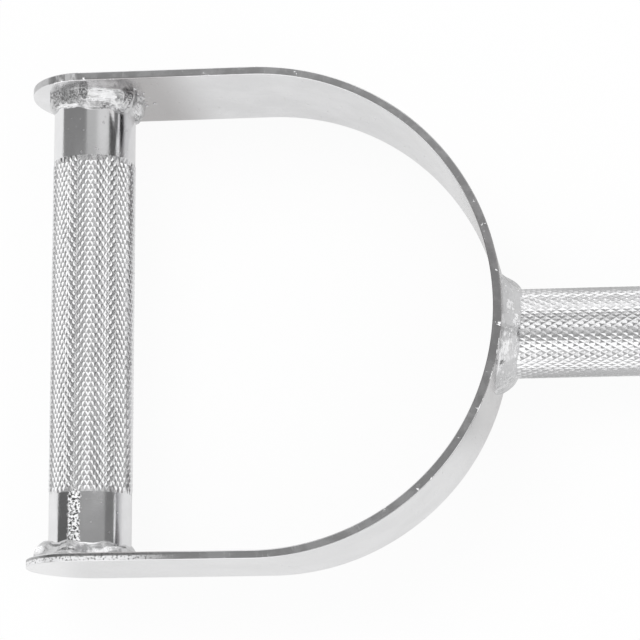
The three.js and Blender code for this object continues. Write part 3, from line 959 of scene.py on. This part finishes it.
def eye_plate(chrome, hanger_place):
    """The plate with its hole, hollowed where it sits on the sleeve."""
    bm = bmesh.new()
    foot = Vector((EYE_FOOT_HALF, 0))
    head = Vector((0, EYE_CENTRE))
    away = foot - head
    touch = math.atan2(away.y, away.x) + math.acos(EYE_RADIUS / away.length)
    side = head + EYE_RADIUS * Vector((math.cos(touch), math.sin(touch)))
    crown = bm.verts.new((side.x, side.y, 0))
    bmesh.ops.spin(bm, geom=[crown], cent=(head.x, head.y, 0), axis=(0, 0, 1),
                   angle=math.pi - 2 * touch, steps=EYE_STEPS, use_merge=False, use_duplicate=False)
    ends = [v for v in bm.verts if len(v.link_edges) == 1]
    feet = [bm.verts.new((math.copysign(foot.x, v.co.x), 0, 0)) for v in ends]
    for pair in (feet, (ends[0], feet[0]), (ends[1], feet[1])):
        bm.edges.new(pair)
    bmesh.ops.contextual_create(bm, geom=bm.edges[:])
    thickened(bm, EYE_THICKNESS)
    bmesh.ops.translate(bm, vec=(0, 0, -EYE_THICKNESS / 2), verts=bm.verts)
    hole = placed(rod(EYE_HOLE_RADIUS, EYE_THICKNESS), Matrix.Translation((0, EYE_CENTRE, 0)))
    bm = cut_by(bm, hole)
    rim = [e for e in sharp_edges(bm) if abs(e.verts[0].co.z - e.verts[1].co.z) < EYE_THICKNESS / 2]
    ease(bm, rim, EYE_EASE)
    seat = placed(rod(SLEEVE_RADIUS, EYE_FOOT_HALF * 2), ALONG_BAR)
    bm = cut_by(bm, seat)
    smooth_but_for(bm, SHARP_TURN)
    placed(bm, hanger_place)
    keep("eye_plate", bm, chrome, "hanger", ["hanger_eye"], weighted=True)


def eye_bead(name, node, weld, place, seed):
    """A rippled bead along X in the corner between the sleeve and the plate."""
    bm = bmesh.new()
    length = 2 * (EYE_FOOT_HALF - BEAD_INSET)
    # A rod of radius and length one, so that each point says its turn and its share of the length
    bmesh.ops.create_cone(bm, segments=BEAD_SIDES, radius1=1, radius2=1, depth=1, cap_ends=True)
    long_edges = [e for e in bm.edges if e.verts[0].co.z * e.verts[1].co.z < 0]
    bmesh.ops.subdivide_edges(bm, edges=long_edges, cuts=BEAD_STEPS, use_grid_fill=True)
    half = EYE_THICKNESS / 2
    corner = Vector((0, math.sqrt(SLEEVE_RADIUS ** 2 - half ** 2), half))
    flow = bm.verts.layers.float_vector.new("flow")
    start = Vector((seed, 0, 0))
    for vert in bm.verts:
        along = vert.co.z
        angle = math.atan2(vert.co.y, vert.co.x)
        taper = math.sqrt(max(0.0, 1 - (2 * abs(along)) ** BEAD_END_SQUARENESS))
        crescent = along * length / BEAD_PITCH + BEAD_CRESCENT * math.cos(angle - math.pi / 4)
        scale = BEAD_SCALES * abs(math.sin(crescent * math.pi)) ** BEAD_SCALE_ROUNDNESS
        spot = Vector((along * BEAD_LUMPS_ALONG, math.cos(angle), math.sin(angle)))
        lump = BEAD_LUMPS * noise.noise(spot + start)
        radius = BEAD_RADIUS * taper * (BEAD_FULLNESS + scale + lump)
        vert[flow] = Vector((crescent * BEAD_PITCH, vert.co.x * FLOW_SHARE * BEAD_RADIUS, 0)) + start
        vert.co = corner + Vector((along * length, radius * math.cos(angle), radius * math.sin(angle)))
    bmesh.ops.recalc_face_normals(bm, faces=bm.faces)
    all_smooth(bm)
    placed(bm, place)
    keep(name, bm, weld, "hanger", [node])


def bushing(name, node, nylon, place):
    """A flanged bushing, its flange's outer face at zero and its body towards +Z."""
    bore = BAR_RADIUS + RUN_GAP
    barrel = SLEEVE_RADIUS - SLEEVE_WALL - RUN_GAP
    end = FLANGE_THICKNESS + BUSHING_LENGTH
    bm = turned([(bore, 0), (FLANGE_RADIUS, 0), (FLANGE_RADIUS, FLANGE_THICKNESS),
                 (barrel, FLANGE_THICKNESS), (barrel, end), (bore, end)], ROUND_STEPS)
    ease(bm, sharp_edges(bm), FLANGE_EASE)
    all_smooth(bm)
    placed(bm, place)
    keep(name, bm, nylon, "hanger", [node], weighted=True)


def stop_collar(side, place, chrome):
    """A collar whose tapped hole points up."""
    half = (collar_high.x - collar_low.x) / 2
    ring = eased_ring(BAR_RADIUS + SEAT_GAP, COLLAR_RADIUS, half, COLLAR_EASE)
    placed(ring, ALONG_BAR)
    hole = rod(SCREW_RADIUS + SEAT_GAP, COLLAR_RADIUS)
    ring = cut_by(ring, placed(hole, Matrix.Translation((0, 0, COLLAR_RADIUS))))
    mouth = [e for e in ring.edges if e.calc_face_angle(0) > BORED_TURN
             and max(v.co.xy.length for v in e.verts) < SCREW_RADIUS + 2 * SEAT_GAP
             and e.verts[0].co.z > COLLAR_RADIUS - COLLAR_MOUTH]
    ease(ring, mouth, SEAT_GAP)
    smooth_but_for(ring, BORED_TURN)
    placed(ring, place)
    keep(f"{side}_eased_collar", ring, chrome, "frame", [f"{side}_stop_collar"], weighted=True)


def grub_screw(side, place, oxide):
    """The screw in a collar, standing on the bar, with a hexagon socket in its top."""
    foot = BAR_RADIUS + SEAT_GAP
    top = COLLAR_RADIUS - SCREW_RECESS
    body = turned([(0, foot), (SCREW_RADIUS, foot), (SCREW_RADIUS, top), (0, top)], ROUND_STEPS)
    ease(body, sharp_edges(body), SCREW_EASE)
    socket = rod(SOCKET_ACROSS / math.sqrt(3), SOCKET_DEPTH, SOCKET_SIDES)
    body = cut_by(body, placed(socket, Matrix.Translation((0, 0, top))))
    smooth_but_for(body, SOCKET_TURN)
    placed(body, place)
    keep(f"{side}_hex_screw", body, oxide, "frame", [f"{side}_set_screw"], weighted=True)


def hanger(chrome, weld, nylon):
    place = AT_AXIS @ Matrix.Rotation(HANGER_TURN, 4, "X")
    sleeve(chrome, place)
    eye_plate(chrome, place)
    other_face = place @ Matrix.Rotation(math.pi, 4, "Y")
    eye_bead("lower_eye_bead", "hanger_lower_weld", weld, place, LOWER_BEAD_SEED)
    eye_bead("upper_eye_bead", "hanger_upper_weld", weld, other_face, UPPER_BEAD_SEED)
    for side, end in SIDES:
        outer = Matrix.Translation((end * flange_high.x, 0, 0))
        inwards = Matrix.Rotation(-end * math.pi / 2, 4, "Y")
        bushing(f"{side}_nylon_bush", f"{side}_bushing", nylon, AT_AXIS @ outer @ inwards)


# World and stage

def floor_finish():
    """Pale paper that the camera and the chrome see as a white sheet with soft shadows, and that
    the chrome sees greyer beside the bar."""
    material = bpy.data.materials.new("pale_floor")
    tree = Tree(material)
    camera, glossy = tree.rays()
    east, north, _ = tree.axes(tree.place())
    beside = tree.ramp(tree.unsigned(north), *GREY_FLOOR_FROM)
    beside = beside * tree.ramp(tree.unsigned(east), *GREY_FLOOR_TO)
    seen = camera * FLOOR_CAMERA_SHARE + glossy * FLOOR_CHROME_SHARE
    paper = tree.node("ShaderNodeBsdfDiffuse", None, {"Color": PAPER})
    white = tree.node("ShaderNodeEmission", None, {"Color": WHITE, "Strength": 1.0})
    black = tree.node("ShaderNodeEmission", None, {"Color": WHITE, "Strength": 0.0})
    dimmed = glossy * (FLOOR_DIM_SHARE + beside * GREY_FLOOR_SHARE)
    sheet = tree.node("ShaderNodeMixShader", None, {0: dimmed, 1: white, 2: black})
    mixed = tree.node("ShaderNodeMixShader", None, {0: seen, 1: paper, 2: sheet})
    tree.add("ShaderNodeOutputMaterial", None, {"Surface": mixed})
    return material


def studio_world():
    """A white studio, with the panels overhead that only the polished metal sees."""
    world = bpy.data.worlds.new("studio")
    bpy.context.scene.world = world
    tree = Tree(world)
    east, north, up = tree.axes(tree.node("ShaderNodeTexCoord", output="Generated"))
    turn = east.math("ARCTAN2", east, up) * math.degrees(1)
    level = WALL_LEVEL
    for panel in PANELS:
        inside = tree.between(turn, *panel["turn"]) * tree.between(north, *panel["north"])
        level = (1.0 - inside) * level + inside * panel["level"]
    camera, glossy = tree.rays()
    unseen = glossy * level + (1.0 - glossy) * WORLD_LEVEL
    strength = camera + (1.0 - camera) * unseen
    shade = tree.node("ShaderNodeBackground", None, {"Color": WHITE, "Strength": strength})
    tree.add("ShaderNodeOutputWorld", None, {"Surface": shade})


def stage():
    bm = bmesh.new()
    bmesh.ops.create_grid(bm, x_segments=1, y_segments=1, size=FLOOR_HALF)
    mesh = mesh_of("floor", bm)
    mesh.materials.append(floor_finish())
    floor = put("floor", mesh)


def lamp(name, place, target, size, power):
    light = bpy.data.lights.new(name, "AREA")
    light.shape = "DISK"
    light.size = size
    light.energy = power
    holder = put(name, light)
    holder.location = place
    holder.rotation_euler = (Vector(target) - Vector(place)).to_track_quat("-Z", "Y").to_euler()
    holder.visible_glossy = False


def photo_camera():
    lens = bpy.data.cameras.new("camera")
    lens.lens = CAMERA_LENS
    lens.sensor_width = CAMERA_SENSOR
    lens.clip_start = CAMERA_CLIP
    holder = put("camera", lens)
    holder.location = CAMERA_PLACE
    holder.rotation_euler = CAMERA_TURN
    bpy.context.scene.camera = holder
    bpy.context.scene.view_settings.view_transform = "Standard"


photo_camera()
studio_world()
stage()
for light in LAMPS:
    lamp(**light)

chrome = chrome_plate()
strip = strip_plate()
knurled = knurl_plate()
weld = weld_plate()
nylon = black_nylon()
oxide = black_oxide()

handle("left", Matrix.Identity(4), strip, knurled, weld)
handle("right", Matrix.Rotation(math.pi, 4, "Z"), strip, knurled, weld)
cross_tube(knurled)
hanger(chrome, weld, nylon)
for side, end in SIDES:
    collar_place = AT_AXIS @ Matrix.Translation((end * COLLAR_MIDDLE, 0, 0))
    stop_collar(side, collar_place, chrome)
    grub_screw(side, collar_place, oxide)
